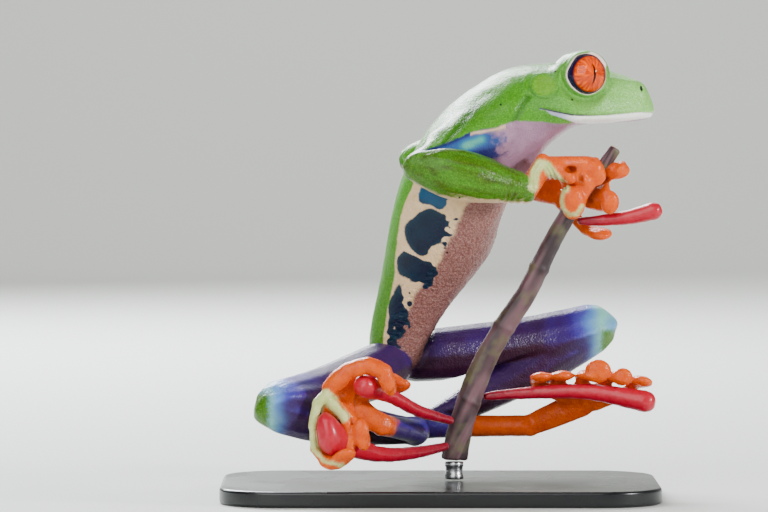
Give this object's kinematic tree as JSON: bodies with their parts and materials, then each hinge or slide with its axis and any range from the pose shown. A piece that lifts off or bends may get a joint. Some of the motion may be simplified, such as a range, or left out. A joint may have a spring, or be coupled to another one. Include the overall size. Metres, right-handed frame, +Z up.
{
  "type": "red-eyed tree frog",
  "caption": "Life-size museum model of a red-eyed tree frog climbing a cut flower stem, with the stem held on a short rod above a flat stand.",
  "frame": {"origin": "middle of the underside of the stand's base", "axes": "+X the way the frog looks, +Y towards the frog's left side, +Z up; the frog's head is level and its body climbs"},
  "size_m": [0.0709, 0.0545, 0.0717],
  "materials": {
    "frog_skin": "cast resin skin, painted leaf green, navy, cream and orange, satin varnish",
    "eye": "orange-red glass-clear eye with a slit pupil",
    "stem": "dull brown-purple woody stem",
    "flower_tube": "crimson waxy flower tube",
    "stand_base": "black acrylic, polished",
    "stand_rod": "brushed stainless rod"
  },
  "bodies": {
    "root": {"head": "frog_skin", "lower_jaw": "frog_skin", "trunk": "frog_skin", "eye_right": "eye", "eye_left": "eye", "upper_arm_right": "frog_skin", "upper_arm_left": "frog_skin", "forearm_right": "frog_skin", "forearm_left": "frog_skin", "hand_right": "frog_skin", "hand_left": "frog_skin", "thigh_right": "frog_skin", "thigh_left": "frog_skin", "shank_right": "frog_skin", "shank_left": "frog_skin", "tarsus_right": "frog_skin", "tarsus_left": "frog_skin", "foot_right": "frog_skin", "foot_left": "frog_skin", "perch_stem": "stem", "perch_tube_near_upper": "flower_tube", "perch_tube_near_lower": "flower_tube", "perch_tube_far_upper": "flower_tube", "perch_tube_far_lower": "flower_tube", "stand_base": "stand_base", "stand_rod": "stand_rod"}
  },
  "joints": []
}
